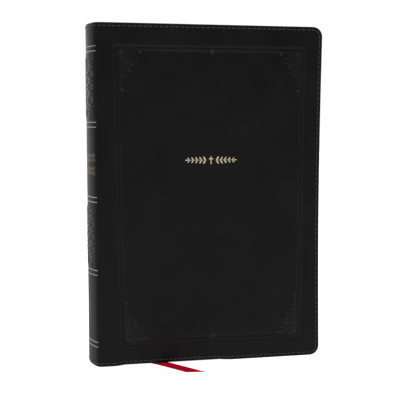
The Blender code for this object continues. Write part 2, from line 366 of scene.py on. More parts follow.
page = {
    "paper": (0.80, 0.765, 0.67, 1),
    "aged": (0.74, 0.69, 0.57, 1),
    "ink": (0.17, 0.155, 0.14, 1),
    "gilt": (0.83, 0.62, 0.26, 1),
    "giltDark": (0.5, 0.33, 0.1, 1),
    "linePitch": 3.3 * mm,
    "lineShare": 0.42,
    "dash": 1.05 * mm,
    "columnEdges": (3.2 * mm, 64 * mm),
    "textFrom": 16 * mm,
    "textTo": 224 * mm,
}


# rows of short grey dashes in two columns stand for print, with no letters in them
def printMask(tree, place):
    parts = addNode(tree, "SeparateXYZ", {0: place}).outputs
    row = doMath(tree, "DIVIDE", parts[2], page["linePitch"])
    inLine = doMath(tree, "LESS_THAN", doMath(tree, "FRACT", row), page["lineShare"])
    rowNumber = doMath(tree, "FLOOR", row)
    dashNumber = doMath(tree, "FLOOR", doMath(tree, "DIVIDE", parts[0], page["dash"]))
    cell = addNode(tree, "CombineXYZ", {0: dashNumber, 1: rowNumber}).outputs[0]
    chance = addNode(tree, "TexWhiteNoise", {"Vector": cell}, noise_dimensions="2D").outputs[0]
    word = doMath(tree, "GREATER_THAN", chance, 0.2)
    away = doMath(tree, "ABSOLUTE", parts[0])
    inner = doMath(tree, "GREATER_THAN", away, page["columnEdges"][0])
    outer = doMath(tree, "LESS_THAN", away, page["columnEdges"][1])
    above = doMath(tree, "GREATER_THAN", parts[2], page["textFrom"])
    below = doMath(tree, "LESS_THAN", parts[2], page["textTo"])
    mask = inLine
    for part in (word, inner, outer, above, below):
        mask = doMath(tree, "MULTIPLY", mask, part)
    return mask


# pages: printed paper on their faces and gilt on their three cut edges
def pageFinish():
    finish, tree, shader = newMaterial("giltPages")
    place = objectPlace(tree)
    facing = addNode(tree, "TexCoord").outputs["Normal"]
    turned = addNode(tree, "SeparateXYZ", {0: facing}).outputs[1]
    isEdge = doMath(tree, "LESS_THAN", doMath(tree, "ABSOLUTE", turned), 0.6)
    leaves = noiseOf(tree, objectPlace(tree, (14, 5200, 14)), 1.0, 3.0, 0.6)
    cloud = noiseOf(tree, place, 60.0, 4.0)
    paper = mixColour(tree, spread(tree, cloud, 0.3, 0.7, 0, 1), page["paper"], page["aged"])
    printed = mixColour(tree, doMath(tree, "MULTIPLY", printMask(tree, place), 0.7), paper, page["ink"])
    gilt = mixColour(tree, spread(tree, leaves, 0.3, 0.7, 0, 1), page["giltDark"], page["gilt"])
    tree.links.new(mixColour(tree, isEdge, printed, gilt), shader.inputs["Base Color"])
    tree.links.new(doMath(tree, "MULTIPLY", isEdge, 0.9), shader.inputs["Metallic"])
    giltRough = spread(tree, leaves, 0.3, 0.7, 0.5, 0.3)
    rough = addNode(tree, "Mix", {0: isEdge, 2: 0.8, 3: giltRough}).outputs[0]
    tree.links.new(rough, shader.inputs["Roughness"])
    fibres = noiseOf(tree, place, 2500.0, 2.0)
    normal = bumpOf(tree, fibres, 0.01 * mm)
    edgeDepth = doMath(tree, "MULTIPLY", leaves, isEdge)
    normal = bumpOf(tree, edgeDepth, 0.12 * mm, normal)
    tree.links.new(normal, shader.inputs["Normal"])
    return finish


def fibreFinish(name, dark, light, fibreScale, depth, rough=0.85):
    finish, tree, shader = newMaterial(name, Roughness=rough)
    place = objectPlace(tree)
    fibres = noiseOf(tree, place, fibreScale, 6.0, 0.65)
    tree.links.new(mixColour(tree, spread(tree, fibres, 0.35, 0.65, 0, 1), dark, light),
                   shader.inputs["Base Color"])
    tree.links.new(bumpOf(tree, fibres, depth), shader.inputs["Normal"])
    return finish


# an open gauze: two sets of threads crossing
def gauzeFinish():
    finish, tree, shader = newMaterial("gauze", Roughness=0.9)
    place = objectPlace(tree)
    across = addNode(tree, "TexWave", {"Vector": place, "Scale": 260.0}, bands_direction="Z")
    along = addNode(tree, "TexWave", {"Vector": place, "Scale": 260.0}, bands_direction="Y")
    weave = doMath(tree, "MAXIMUM", across.outputs["Fac"], along.outputs["Fac"])
    tree.links.new(mixColour(tree, weave, (0.42, 0.38, 0.3, 1), (0.78, 0.75, 0.66, 1)),
                   shader.inputs["Base Color"])
    tree.links.new(bumpOf(tree, weave, 0.15 * mm), shader.inputs["Normal"])
    return finish


# head and tail bands: silk wound in two colours
def bandFinish():
    finish, tree, shader = newMaterial("bandSilk", Roughness=0.5)
    place = objectPlace(tree)
    stripes = addNode(tree, "TexWave", {"Vector": place, "Scale": 95.0}, bands_direction="Y")
    share = spread(tree, stripes.outputs["Fac"], 0.42, 0.58, 0, 1)
    silk = noiseOf(tree, objectPlace(tree, (200, 4000, 200)), 1.0)
    colour = mixColour(tree, share, (0.012, 0.011, 0.011, 1), (0.62, 0.46, 0.16, 1))
    tree.links.new(colour, shader.inputs["Base Color"])
    tree.links.new(bumpOf(tree, silk, 0.08 * mm), shader.inputs["Normal"])
    shader.inputs["Sheen Weight"].default_value = 0.3
    return finish


ribbonLook = {
    "deep": (0.58, 0.0006, 0.018, 1),
    "bright": (0.86, 0.0015, 0.036, 1),
    "ribs": 26,
}


# satin: fine ribs across the width, read from the ribbon's own map
def satinFinish():
    finish, tree, shader = newMaterial("satin", Roughness=0.42)
    own = addNode(tree, "UVMap", uv_map="along").outputs[0]
    parts = addNode(tree, "SeparateXYZ", {0: own}).outputs
    ribs = addNode(tree, "TexWave", {"Vector": own, "Scale": ribbonLook["ribs"] / 2.0},
                   bands_direction="X").outputs["Fac"]
    picks = addNode(tree, "TexWave", {"Vector": own, "Scale": 260.0}, bands_direction="Y").outputs["Fac"]
    cloud = noiseOf(tree, own, 12.0, 4.0)
    selvedge = spread(tree, doMath(tree, "ABSOLUTE", doMath(tree, "SUBTRACT", parts[0], 0.5)),
                      0.44, 0.47, 0, 1)
    share = doMath(tree, "MULTIPLY", spread(tree, cloud, 0.3, 0.7, 0.3, 1), spread(tree, ribs, 0, 1, 0.7, 1))
    colour = mixColour(tree, share, ribbonLook["deep"], ribbonLook["bright"])
    colour = mixColour(tree, doMath(tree, "MULTIPLY", selvedge, 0.5), colour, ribbonLook["deep"])
    tree.links.new(colour, shader.inputs["Base Color"])
    normal = bumpOf(tree, ribs, 0.05 * mm)
    normal = bumpOf(tree, picks, 0.02 * mm, normal)
    tree.links.new(normal, shader.inputs["Normal"])
    shader.inputs["Specular IOR Level"].default_value = 0.05
    shader.inputs["Specular Tint"].default_value = (1, 0.3, 0.35, 1)
    return finish


leathersoft = leathersoftFinish("leathersoft")
coverTooling = leathersoftFinish("tooledLeathersoft", 0.5)
spineTooling = leathersoftFinish("burnishedLeathersoft", 0.75)
goldFoil = goldFoilFinish("goldFoil", (0.66, 0.52, 0.32, 1), (0.88, 0.77, 0.55, 1))
wornFoil = goldFoilFinish("wornGoldFoil", (0.3, 0.245, 0.17, 1), (0.52, 0.45, 0.34, 1))
giltPages = pageFinish()
satin = satinFinish()
gauze = gauzeFinish()
bandSilk = bandFinish()
stitchThread = threadFinish("stitchThread", (0.014, 0.013, 0.013, 1), (0.04, 0.037, 0.036, 1), 900.0)
sewingThread = threadFinish("sewingThread", (0.55, 0.52, 0.44, 1), (0.8, 0.78, 0.7, 1), 700.0)
greyCard = fibreFinish("greyCard", (0.26, 0.23, 0.19, 1), (0.42, 0.38, 0.31, 1), 500.0, 0.05 * mm)
endpaper = fibreFinish("endpaper", (0.011, 0.0105, 0.0115, 1), (0.02, 0.019, 0.02, 1), 900.0, 0.03 * mm, 0.7)
print("finishes are made")


# ---- the ribbon marker: the route is the same as the solid's, as x, distance to the front, and z

ribbonFacts = {
    "width": 9.5 * mm,
    "thickness": 0.26 * mm,
    "cut": 4.4 * mm,
    "step": 2.5 * mm,
    "turns": (0.2 * mm, 2 * mm, 6 * mm),
    "columns": 8,
    "cup": 0.12 * mm,
}
ribbonRoute = [
    (-76.5, -1.2, 236.0), (-76.2, -1.2, 205.0), (-75.0, -1.2, 165.0), (-72.3, -1.2, 120.0),
    (-68.0, -1.2, 80.0), (-61.0, -1.2, 45.0), (-53.4, -1.2, 20.0), (-49.4, -1.2, 9.0),
    (-48.5, -1.2, 5.0), (-48.3, -1.2, 2.4), (-48.0, -0.6, 0.95), (-47.1, 0.8, 0.3),
    (-45.2, 3.6, 0.2), (-39.9, 10.6, 0.2), (-33.4, 19.0, 0.2), (-24.6, 31.2, 0.2),
    (-14.9, 45.0, 0.2),
]


def smoothRoute(points, step):
    line = []
    for i in range(len(points) - 1):
        before = points[max(i - 1, 0)]
        start = points[i]
        end = points[i + 1]
        after = points[min(i + 2, len(points) - 1)]
        reach = (end - start).length / 3
        leave = start + (end - before).normalized() * reach
        arrive = end - (after - start).normalized() * reach
        steps = max(3, round((end - start).length / step))
        for k in range(steps):
            t = k / steps
            rest = 1 - t
            line.append(start * rest**3 + leave * 3 * t * rest**2
                        + arrive * 3 * t * t * rest + end * t**3)
    line.append(points[-1])
    return line


# the ribbon's width direction: along the pages above, and flat on the floor below
def ribbonAcross(point, along):
    low, middle, high = ribbonFacts["turns"]
    lying = Vector((-along.y, along.x, 0))
    hanging = Vector((-along.z, 0, along.x))
    across = lying.lerp(Vector((1, 0, 0)), min(1, max(0, (point.z - low) / (middle - low))))
    return across.lerp(hanging, min(1, max(0, (point.z - middle) / (high - middle)))).normalized()


def addRibbon():
    points = smoothRoute([Vector((x, -ahead, z)) * mm for x, ahead, z in ribbonRoute],
                         ribbonFacts["step"])
    columns = ribbonFacts["columns"]
    rows = len(points) - 1
    shape = bmesh.new()
    bmesh.ops.create_grid(shape, x_segments=columns, y_segments=rows, size=0.5, calc_uvs=True)
    uv = shape.loops.layers.uv.verify()
    length = sum((after - before).length for before, after in zip(points, points[1:]))
    for vert in shape.verts:
        share = vert.co.x + 0.5
        row = round((vert.co.y + 0.5) * rows)
        for loop in vert.link_loops:
            loop[uv].uv = (share, row / rows * length / ribbonFacts["width"] / 10)
        point = points[row]
        along = (points[min(row + 1, rows)] - points[max(row - 1, 0)]).normalized()
        across = ribbonAcross(point, along)
        face = along.cross(across).normalized()
        offset = (share - 0.5) * 2
        place = point + across * offset * ribbonFacts["width"] / 2
        # the slanting cut runs over the last few rows
        tail = smooth((row - rows + 5) / 5)
        place += along * ribbonFacts["cut"] * offset * tail
        place += face * ribbonFacts["cup"] * (0.4 - offset * offset) * tail
        vert.co = place
    bmesh.ops.recalc_face_normals(shape, faces=shape.faces)
    ribbonPiece = addPiece("ribbonMarker", shape, satin)
    ribbonPiece.data.uv_layers[0].name = "along"
    thick = ribbonPiece.modifiers.new("thickness", "SOLIDIFY")
    thick.thickness = ribbonFacts["thickness"]
    thick.offset = 0
    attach(ribbonPiece, "back_half")
    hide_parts("ribbon")
    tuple(points[0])
    return length


ribbonLength = addRibbon()
print("ribbon:", round(ribbonLength, 4), "m")


# ---- the developed case: x is the distance round the spine, y the height and z the rise off the surface

case = {
    "corner": 7 * mm,
    "rim": 0.8 * mm,
    "coverThick": 2.4 * mm,
    "spineThick": 0.85 * mm,
    "headcap": 2.2 * mm,
    "skin": 0.38 * mm,
    "turnIn": 8 * mm,
    "sheetInset": 3.3 * mm,
    "stitchInset": 2.35 * mm,
    "stitchDip": 0.14 * mm,
    "bow": 1.2 * mm,
    "wave": 0.16 * mm,
    "waveLength": 48 * mm,
    "reliefDepth": 0.75 * mm,
    "reliefSpan": (14 * mm, 84 * mm),
    "reliefRamp": 8 * mm,
    "reliefHeight": 35 * mm,
}
spacing = {
    "crease": 0.32 * mm,
    "middle": 0.3 * mm,
    "spine": 1.1 * mm,
    "shoulder": 0.55 * mm,
    "cover": 4.5 * mm,
    "up": 5 * mm,
}
rimAngles = (0, 22, 45, 67, 90, 91, 113, 135, 158, 180)
tooling = {
    "left": -65.3 * mm,
    "right": 71.2 * mm,
    "low": 14.7 * mm,
    "high": 224.4 * mm,
    "insets": (0, 2.9 * mm),
    "halfWidth": 0.36 * mm,
    "depth": 0.22 * mm,
    "openCorner": (17 * mm, 31 * mm),
    "pressed": 0.34,
    "leanLeft": (0.35 * mm, -2.0 * mm),
    "leanRight": (-0.65 * mm, 0.86 * mm),
}


def runOf(x, side=1):
    return side * (shoulderRun + x - shoulderX)


# the die wasn't set quite square: the frame is a little wider at the head than at the tail
def lean(away, z):
    left, right = runOf(tooling["left"]), runOf(tooling["right"])
    up = (z - height / 2) / (height / 2)
    atLeft, atRight = (tooling[key][0] + tooling[key][1] * up for key in ("leanLeft", "leanRight"))
    if away <= left:
        return atLeft * smooth((away - shoulderRun) / (left - shoulderRun))
    if away >= right:
        return atRight * smooth((outerRun - 4 * mm - away) / (outerRun - 4 * mm - right))
    return between(atLeft, atRight, (away - left) / (right - left))


# the lift of the front cover's tail edge over the ribbon, and the bow of the fore edge
def settled(run, z):
    away = abs(run)
    away += lean(away, z)
    inHeight = (z - case["corner"]) / (height - 2 * case["corner"])
    bow = case["bow"] * math.sin(math.pi * min(1, max(0, inHeight)))
    shift = bow * smooth(1 - (outerRun - away) / (30 * mm))
    if run > 0:
        start, end = case["reliefSpan"]
        fromHinge = run - shoulderRun
        up = smooth((fromHinge - start) / case["reliefRamp"] + 1)
        down = smooth((end - fromHinge) / case["reliefRamp"] + 1)
        z += case["reliefDepth"] * min(up, down) * smooth(1 - z / case["reliefHeight"])
    return (away - shift) * (1 if run > 0 else -1), z


# the leathersoft isn't perfectly flat between the rims
def waviness(run, z):
    away = abs(run)
    inside = min(z, height - z, outerRun - away, away - shoulderRun) - 3 * mm
    if inside <= 0:
        return 0
    place = Vector((run, z, 0)) / case["waveLength"]
    return case["wave"] * smooth(inside / (12 * mm)) * (noise.noise(place) * 0.6 - 0.4)


# from the developed sheet to the book
def wrapPoint(run, z, rise):
    run, z = settled(run, z)
    rise += waviness(run, z)
    side = -1 if run > 0 else 1
    away = abs(run)
    if away >= shoulderRun:
        return Vector((shoulderX + away - shoulderRun, side * (halfThick + rise), z))
    if away <= spineRun:
        angle = away / spineRadius
        radius = spineRadius + rise
        return Vector((spineCentre - radius * math.cos(angle), side * radius * math.sin(angle), z))
    angle = shoulderAngle + (away - spineRun) / shoulderRadius
    radius = shoulderRadius + rise
    outward = halfThick - shoulderRadius + radius * math.sin(angle)
    return Vector((shoulderX - radius * math.cos(angle), side * outward, z))


def wrapShape(shape):
    for vert in shape.verts:
        vert.co = wrapPoint(*vert.co)


# how thick the case is behind its edge: card inside the covers, none in the spine
def edgeThickness(run, atSpine=case["spineThick"]):
    share = smooth((abs(run) - shoulderRun + 2 * mm) / (6 * mm))
    return between(atSpine, case["coverThick"], share)


def grooveDepth(run, z):
    middle = (runOf(tooling["left"]) + runOf(tooling["right"])) / 2
    halfWide = (tooling["right"] - tooling["left"]) / 2
    halfHigh = (tooling["high"] - tooling["low"]) / 2
    across = abs(abs(run) - middle) - halfWide
    up = abs(z - (tooling["low"] + tooling["high"]) / 2) - halfHigh
    depth = 0
    wide, high = tooling["openCorner"]
    inCorner = run > 0 and across > -wide and up > -high
    for inset in tooling["insets"]:
        if inset and inCorner:
            continue
        away = abs(max(across, up) + inset)
        depth = max(depth, smooth(1 - away / tooling["halfWidth"]))
    return depth * tooling["depth"]


# places for cuts across the sheet: the named ones first, then others that keep their distance
def sortedCuts(first, then, apart):
    kept = sorted(first)
    for place in sorted(then):
        if all(abs(place - other) > apart for other in kept):
            kept.append(place)
    return sorted(kept)


def evenly(start, end, step):
    count = max(1, round((end - start) / step))
    return [between(start, end, i / count) for i in range(count + 1)]


def grooveCuts(place, inward):
    cuts = []
    for inset in tooling["insets"]:
        for share in (-1, -0.5, 0, 0.5, 1):
            cuts.append(place + inward * inset + share * tooling["halfWidth"])
    return cuts


def caseRuns():
    half = grooveCuts(runOf(tooling["left"]), 1) + grooveCuts(runOf(tooling["right"]), -1) + [cutRun]
    named = half + [-run for run in half]
    plain = evenly(0, 2 * mm, spacing["middle"]) + evenly(2 * mm, spineRun, spacing["spine"])
    plain += evenly(spineRun, cutRun, spacing["shoulder"])
    plain += evenly(cutRun, shoulderRun + 2.5 * mm, spacing["crease"])
    plain += evenly(shoulderRun + 3 * mm, outerRun - case["sheetInset"], spacing["cover"])[:-1]
    return sortedCuts(named, plain + [-run for run in plain], 0.16 * mm)


def caseHeights():
    named = grooveCuts(tooling["low"], 1) + grooveCuts(tooling["high"], -1)
    plain = evenly(case["sheetInset"], height - case["sheetInset"], spacing["up"])[1:-1]
    return sortedCuts(named, plain, 0.3 * mm)


def bisectAll(shape, place, direction):
    geometry = shape.verts[:] + shape.edges[:] + shape.faces[:]
    bmesh.ops.bisect_plane(shape, geom=geometry, dist=1e-7, plane_co=place, plane_no=direction)


# the flat middle of the sheet, with its four rounded corners
def caseField():
    inset = case["sheetInset"]
    shape = bmesh.new()
    bmesh.ops.create_grid(shape, x_segments=1, y_segments=1, size=0.5)
    bmesh.ops.scale(shape, verts=shape.verts, vec=(2 * (outerRun - inset), height - 2 * inset, 1))
    bmesh.ops.translate(shape, verts=shape.verts, vec=(0, height / 2, 0))
    bmesh.ops.bevel(shape, geom=shape.verts[:], offset=case["corner"] - inset, affect="VERTICES",
                    segments=10, profile=0.5, material=-1)
    for run in caseRuns():
        bisectAll(shape, (run, 0, 0), (1, 0, 0))
    for z in caseHeights():
        bisectAll(shape, (0, z, 0), (0, 1, 0))
    for vert in shape.verts:
        vert.co.z = -grooveDepth(vert.co.x, vert.co.y)
    return shape


# one more ring outside the last one: each point of the outline moves to its inset and its depth
def extrudeRing(shape, edges, home, outward, insetAndDepth):
    made = bmesh.ops.extrude_edge_only(shape, edges=edges)["geom"]
    for vert in (item for item in made if isinstance(item, bmesh.types.BMVert)):
        base = vert[home]
        inset, depth = insetAndDepth(base.x)
        vert.co = base + vert[outward] * (case["sheetInset"] - inset)
        vert.co.z = -depth
    return [item for item in made if isinstance(item, bmesh.types.BMEdge)]


# the rings that make the stitched border, the rounded rim and the turned-in edge
def caseRings():
    stitch = case["stitchInset"]
    rings = [lambda run, inset=inset, depth=depth: (inset, depth) for inset, depth in
             ((stitch + 0.45 * mm, 0), (stitch, case["stitchDip"]), (stitch - 0.4 * mm, 0))]

    def roundRim(degrees):
        angle = math.radians(degrees)

        def ring(run):
            thick = edgeThickness(run, case["headcap"])
            radius = between(case["headcap"] / 2, case["rim"], smooth((abs(run) - shoulderRun) / (6 * mm)))
            depth = radius * (1 - math.cos(angle))
            if degrees > 90:
                depth = thick - radius * (1 + math.cos(angle))
            return radius * (1 - math.sin(angle)), depth
        return ring

    for degrees in rimAngles:
        rings.append(roundRim(degrees))
    rings.append(lambda run: (3.6 * mm, edgeThickness(run)))
    return rings


def caseShell():
    shape = caseField()
    home = shape.verts.layers.float_vector.new("home")
    outward = shape.verts.layers.float_vector.new("outward")
    border = [edge for edge in shape.edges if edge.is_boundary]
    core = (outerRun - case["corner"], case["corner"], height - case["corner"])
    for vert in {vert for edge in border for vert in edge.verts}:
        inner = Vector((min(core[0], max(-core[0], vert.co.x)), min(core[2], max(core[1], vert.co.y)), 0))
        flat = Vector((vert.co.x, vert.co.y, 0))
        vert[home] = flat
        vert[outward] = (flat - inner).normalized()
    for ring in caseRings():
        border = extrudeRing(shape, border, home, outward, ring)
    # the turned-in edge ends on a plain rectangle, so its corners are mitred
    made = bmesh.ops.extrude_edge_only(shape, edges=border)["geom"]
    last = [item for item in made if isinstance(item, bmesh.types.BMVert)]
    for vert in last:
        base = vert[home]
        reach = outerRun - case["turnIn"]
        vert.co.x = min(reach, max(-reach, base.x))
        vert.co.y = min(height - case["turnIn"], max(case["turnIn"], base.y))
    bmesh.ops.remove_doubles(shape, verts=last, dist=1e-6)
    top = max(shape.faces, key=lambda face: face.calc_center_median().z)
    bmesh.ops.recalc_face_normals(shape, faces=shape.faces)
    if top.normal.z < 0:
        bmesh.ops.reverse_faces(shape, faces=shape.faces)
    bmesh.ops.solidify(shape, geom=shape.faces[:], thickness=case["skin"])
    return shape


# one stretch of the case between two distances, with its cut ends closed
def caseStretch(whole, low, high, name):
    shape = whole.copy()
    runLayer = shape.verts.layers.float["run"]
    keepNormal = shape.verts.layers.float_vector["wholeNormal"]
    away = []
    for face in shape.faces:
        middle = sum(vert[runLayer] for vert in face.verts) / len(face.verts)
        if not low < middle < high:
            away.append(face)
    bmesh.ops.delete(shape, geom=away, context="FACES")
    ends = [edge for edge in shape.edges if edge.is_boundary]
    caps = bmesh.ops.holes_fill(shape, edges=ends, sides=0)["faces"]
    bmesh.ops.triangulate(shape, faces=caps)
    shape.verts.index_update()
    atCut = {vert.index: vert[keepNormal].copy() for edge in ends for vert in edge.verts}
    piece = addPiece(name, shape, leathersoft)
    normals = [atCut.get(i, Vector((0, 0, 0))) for i in range(len(piece.data.vertices))]
    piece.data.normals_split_custom_set_from_vertices(normals)
    return piece


def addCase():
    whole = caseShell()
    pressed = whole.verts.layers.float.new("pressed")
    runLayer = whole.verts.layers.float.new("run")
    keepNormal = whole.verts.layers.float_vector.new("wholeNormal")
    for vert in whole.verts:
        vert[runLayer] = vert.co.x
        vert[pressed] = tooling["pressed"] * grooveDepth(vert.co.x, vert.co.y) / tooling["depth"]
    wrapShape(whole)
    whole.normal_update()
    for vert in whole.verts:
        vert[keepNormal] = vert.normal
    far = outerRun + 1
    front = caseStretch(whole, cutRun, far, "frontCoverLeathersoft")
    spine = caseStretch(whole, -cutRun, cutRun, "spineLeathersoft")
    back = caseStretch(whole, -far, -cutRun, "backCoverLeathersoft")
    whole.free()
    bendAtHinge(front, "front")
    bendAtMiddle(spine)
    bendAtHinge(back, "back")
    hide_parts("front_cover_skin")
    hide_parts("spine_skin_front", "spine_skin_back")
    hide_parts("back_cover_skin")


addCase()
print("leathersoft case is wrapped")


# ---- the row of stitches round the case

stitching = {
    "pitch": 3.65 * mm,
    "length": 2.9 * mm,
    "thickness": 0.62 * mm,
    "dive": 0.28 * mm,
}


# evenly spaced places along the case's rounded outline, as run, height and direction
def walkOutline(inset, pitch):
    radius = case["corner"] - inset
    reach = (outerRun - case["corner"], height / 2 - case["corner"])
    quarter = math.pi / 2
    total = 4 * (reach[0] + reach[1]) + 2 * math.pi * radius
    count = round(total / pitch)
    for i in range(count):
        left = total * i / count
        for turn in range(4):
            along = Vector((math.cos(quarter * turn), math.sin(quarter * turn)))
            out = Vector((along.y, -along.x))
            straight, other = reach[turn % 2], reach[1 - turn % 2]
            if left <= 2 * straight:
                place = along * (left - straight) + out * (other + radius)
                yield place.x, place.y + height / 2, quarter * turn
                break
            left -= 2 * straight
            if left <= quarter * radius:
                angle = left / radius
                spoke = out * math.cos(angle) + along * math.sin(angle)
                place = along * straight + out * other + spoke * radius
                yield place.x, place.y + height / 2, quarter * turn + angle
                break
            left -= quarter * radius


# a slim bead lying along x, with its poles at its two tips
def newBead(around, along):
    bead = bmesh.new()
    bmesh.ops.create_uvsphere(bead, u_segments=around, v_segments=along, radius=1,
                              matrix=Matrix.Rotation(math.pi / 2, 4, "Y"))
    return bead


# turns a small part, puts it in its place on the sheet and joins it to the rest
def layDown(shape, part, run, z, angle):
    bmesh.ops.rotate(part, verts=part.verts, cent=(0, 0, 0), matrix=Matrix.Rotation(angle, 3, "Z"))
    bmesh.ops.translate(part, verts=part.verts, vec=(run, z, 0))
    mesh = bpy.data.meshes.new("part")
    part.to_mesh(mesh)
    part.free()
    shape.from_mesh(mesh)
    bpy.data.meshes.remove(mesh)


def addStitch(shape, run, z, angle):
    bead = newBead(6, 6)
    for vert in bead.verts:
        x, y, rise = vert.co
        full = min(1, 1.5 * math.sqrt(max(0, 1 - x * x)))
        side = math.hypot(y, rise)
        thick = stitching["thickness"] / 2 * full / max(side, 1e-6)
        sunk = stitching["dive"] * x**4
        vert.co = (x * stitching["length"] / 2, y * thick, rise * thick - sunk)
    layDown(shape, bead, run, z, angle)


def addStitches():
    rows = {"frontStitches": bmesh.new(), "spineStitches": bmesh.new(), "backStitches": bmesh.new()}
    for run, z, angle in walkOutline(case["stitchInset"], stitching["pitch"]):
        name = "spineStitches" if abs(run) < cutRun else "frontStitches" if run > 0 else "backStitches"
        addStitch(rows[name], run, z, angle + math.radians(4))
    made = {}
    for name, shape in rows.items():
        wrapShape(shape)
        made[name] = addPiece(name, shape, stitchThread, 60)
    bendAtHinge(made["frontStitches"], "front")
    bendAtMiddle(made["spineStitches"])
    bendAtHinge(made["backStitches"], "back")


addStitches()
print("stitched")


# ---- blind tooling in low relief: leaves and flowers, drawn on the developed sheet

relief = {
    "rise": 0.36 * mm,
    "spineRise": 0.5 * mm,
    "low": 0.2 * mm,
    "sink": 0.12 * mm,
    "stem": 0.5 * mm,
    "leafPitch": 2.1 * mm,
    "bud": 0.5 * mm,
    "lineFlorets": (220.9 * mm, 18.2 * mm),
    "lineMiddle": 3.1 * mm,
    "spinePanels": ((178 * mm, 214 * mm), (74 * mm, 110 * mm)),
    "panelPitch": 9.5 * mm,
    "panelInner": 6.7 * mm,
    "panelMiddle": 11.2 * mm,
    "panelOuter": 15.4 * mm,
}


# a leaf or petal from its base, with a crease down its middle
def addPetal(shape, run, z, angle, length, width, rise=relief["rise"], taper=0.55):
    petal = newBead(8, 6)
    for vert in petal.verts:
        x, y, up = vert.co
        if up > 0:
            up *= 0.62 + 0.38 * min(1, abs(y) * 2)
        y *= 1 - taper * x * x
        vert.co = ((x + 1) * length / 2, y * width / 2, up * (rise if up > 0 else relief["sink"]))
    layDown(shape, petal, run, z, angle)


def addBoss(shape, run, z, radius, rise):
    boss = newBead(8, 6)
    for vert in boss.verts:
        x, y, up = vert.co
        vert.co = (x * radius, y * radius, up * (rise if up > 0 else relief["sink"]))
    layDown(shape, boss, run, z, 0)


def addFlower(shape, run, z, radius, petals=5, spin=0.3, rise=relief["rise"]):
    for i in range(petals):
        angle = spin + 2 * math.pi * i / petals
        addPetal(shape, run + math.cos(angle) * radius * 0.18, z + math.sin(angle) * radius * 0.18,
                 angle, radius * 0.84, radius * 0.78, rise, 0.15)
    addBoss(shape, run, z, radius * 0.24, rise * 1.15)


# a stem as short overlapping lengths along a line of points
def addStem(shape, points):
    rise = relief["rise"] * 0.8
    for start, end in zip(points, points[1:]):
        step = Vector(end) - Vector(start)
        angle = math.atan2(step.y, step.x)
        back = step.length * 0.17
        addPetal(shape, start[0] - math.cos(angle) * back, start[1] - math.sin(angle) * back, angle,
                 step.length * 1.35, relief["stem"], rise, 0.1)


# a vine: a waving stem with small leaves to both sides; places are given inside the corner
def addVine(shape, corner, start, end, wave, leaf):
    run, z, toRight, toTop = corner
    step = Vector(end) - Vector(start)
    out = Vector((-step.y, step.x)).normalized()
    count = max(2, round(step.length / relief["leafPitch"]))
    line = []
    for i in range(3 * count + 1):
        share = i / (3 * count)
        place = Vector(start) + step * share + out * wave * math.sin(share * count * 2)
        line.append((run + toRight * place.x, z + toTop * place.y))
    addStem(shape, line)
    along = math.atan2(toTop * step.y, toRight * step.x)
    for i in range(count):
        x, y = line[3 * i + 1]
        size = between(leaf, leaf * 0.75, i / count)
        for turn in (-0.95, 0.95):
            addPetal(shape, x, y, along + turn, size, size * 0.42)
    for turn in (-0.5, 0, 0.5):
        addPetal(shape, *line[-1], along + turn, leaf * 0.7, leaf * 0.3)


vines = [
    # start and end inside the corner, in mm across and up, and the size of the leaves
    ((1.6, 1.6), (1.9, 24.5), 2.5),
    ((1.6, 1.6), (13.6, 1.9), 2.3),
    ((3.2, 4.4), (4.9, 18.5), 2.5),
    ((4.4, 4.2), (12.2, 5.2), 2.4),
    ((6.2, 6.6), (8.0, 14.6), 2.5),
    ((7.6, 7.0), (11.6, 9.0), 2.2),
]


florets = [
    # place inside the corner and radius, in mm
    (2.6, 2.6, 1.6),
    (15.4, 2.4, 1.3),
    (2.4, 28.4, 1.3),
    (9.4, 11.4, 1.2),
]
buds = [(6.6, 18.6), (9.2, 15.6), (12.4, 11.2), (13.8, 7.6), (4.2, 22.4), (2.2, 32.0)]


# a corner spray: vines, florets and a scatter of small buds
def addCornerSpray(shape, x, z, toRight, toTop):
    run = runOf(x)
    corner = (run, z, toRight, toTop)
    for start, end, leaf in vines:
        addVine(shape, corner, Vector(start) * mm, Vector(end) * mm, 0.35 * mm, leaf * mm)
    for across, up, radius in florets:
        addFlower(shape, run + toRight * across * mm, z + toTop * up * mm, radius * mm, 6, 0.3,
                  relief["low"])
    for across, up in buds:
        addBoss(shape, run + toRight * across * mm, z + toTop * up * mm, relief["bud"], relief["rise"])


sprays = [
    # x and z of the corner, and the way the spray grows
    (-62.8, 222.6, 1, -1),
    (68.7, 222.6, -1, -1),
    (-62.8, 16.5, 1, 1),
    (68.7, 16.5, -1, 1),
]


def addFrontTooling():
    shape = bmesh.new()
    for x, z, toRight, toTop in sprays:
        addCornerSpray(shape, x * mm, z * mm, toRight, toTop)
    # a floret in the middle of the head and tail lines
    middle = runOf(relief["lineMiddle"])
    for z in relief["lineFlorets"]:
        addFlower(shape, middle, z, 1.9 * mm, 6, 0)
        for toRight in (-1, 1):
            addPetal(shape, middle + toRight * 2.1 * mm, z, 0 if toRight > 0 else math.pi, 3.4 * mm, 1.2 * mm)
    wrapShape(shape)
    piece = addPiece("frontFloralTooling", shape, coverTooling, 60)
    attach(piece, "front_cover")


# leaves standing round a place like the ribs of a fan
def addFan(shape, run, z, angle, reach, turns, size, rise):
    for turn in turns:
        heading = angle + turn
        addPetal(shape, run + math.cos(heading) * reach, z + math.sin(heading) * reach, heading, size,
                 size * 0.38, rise)


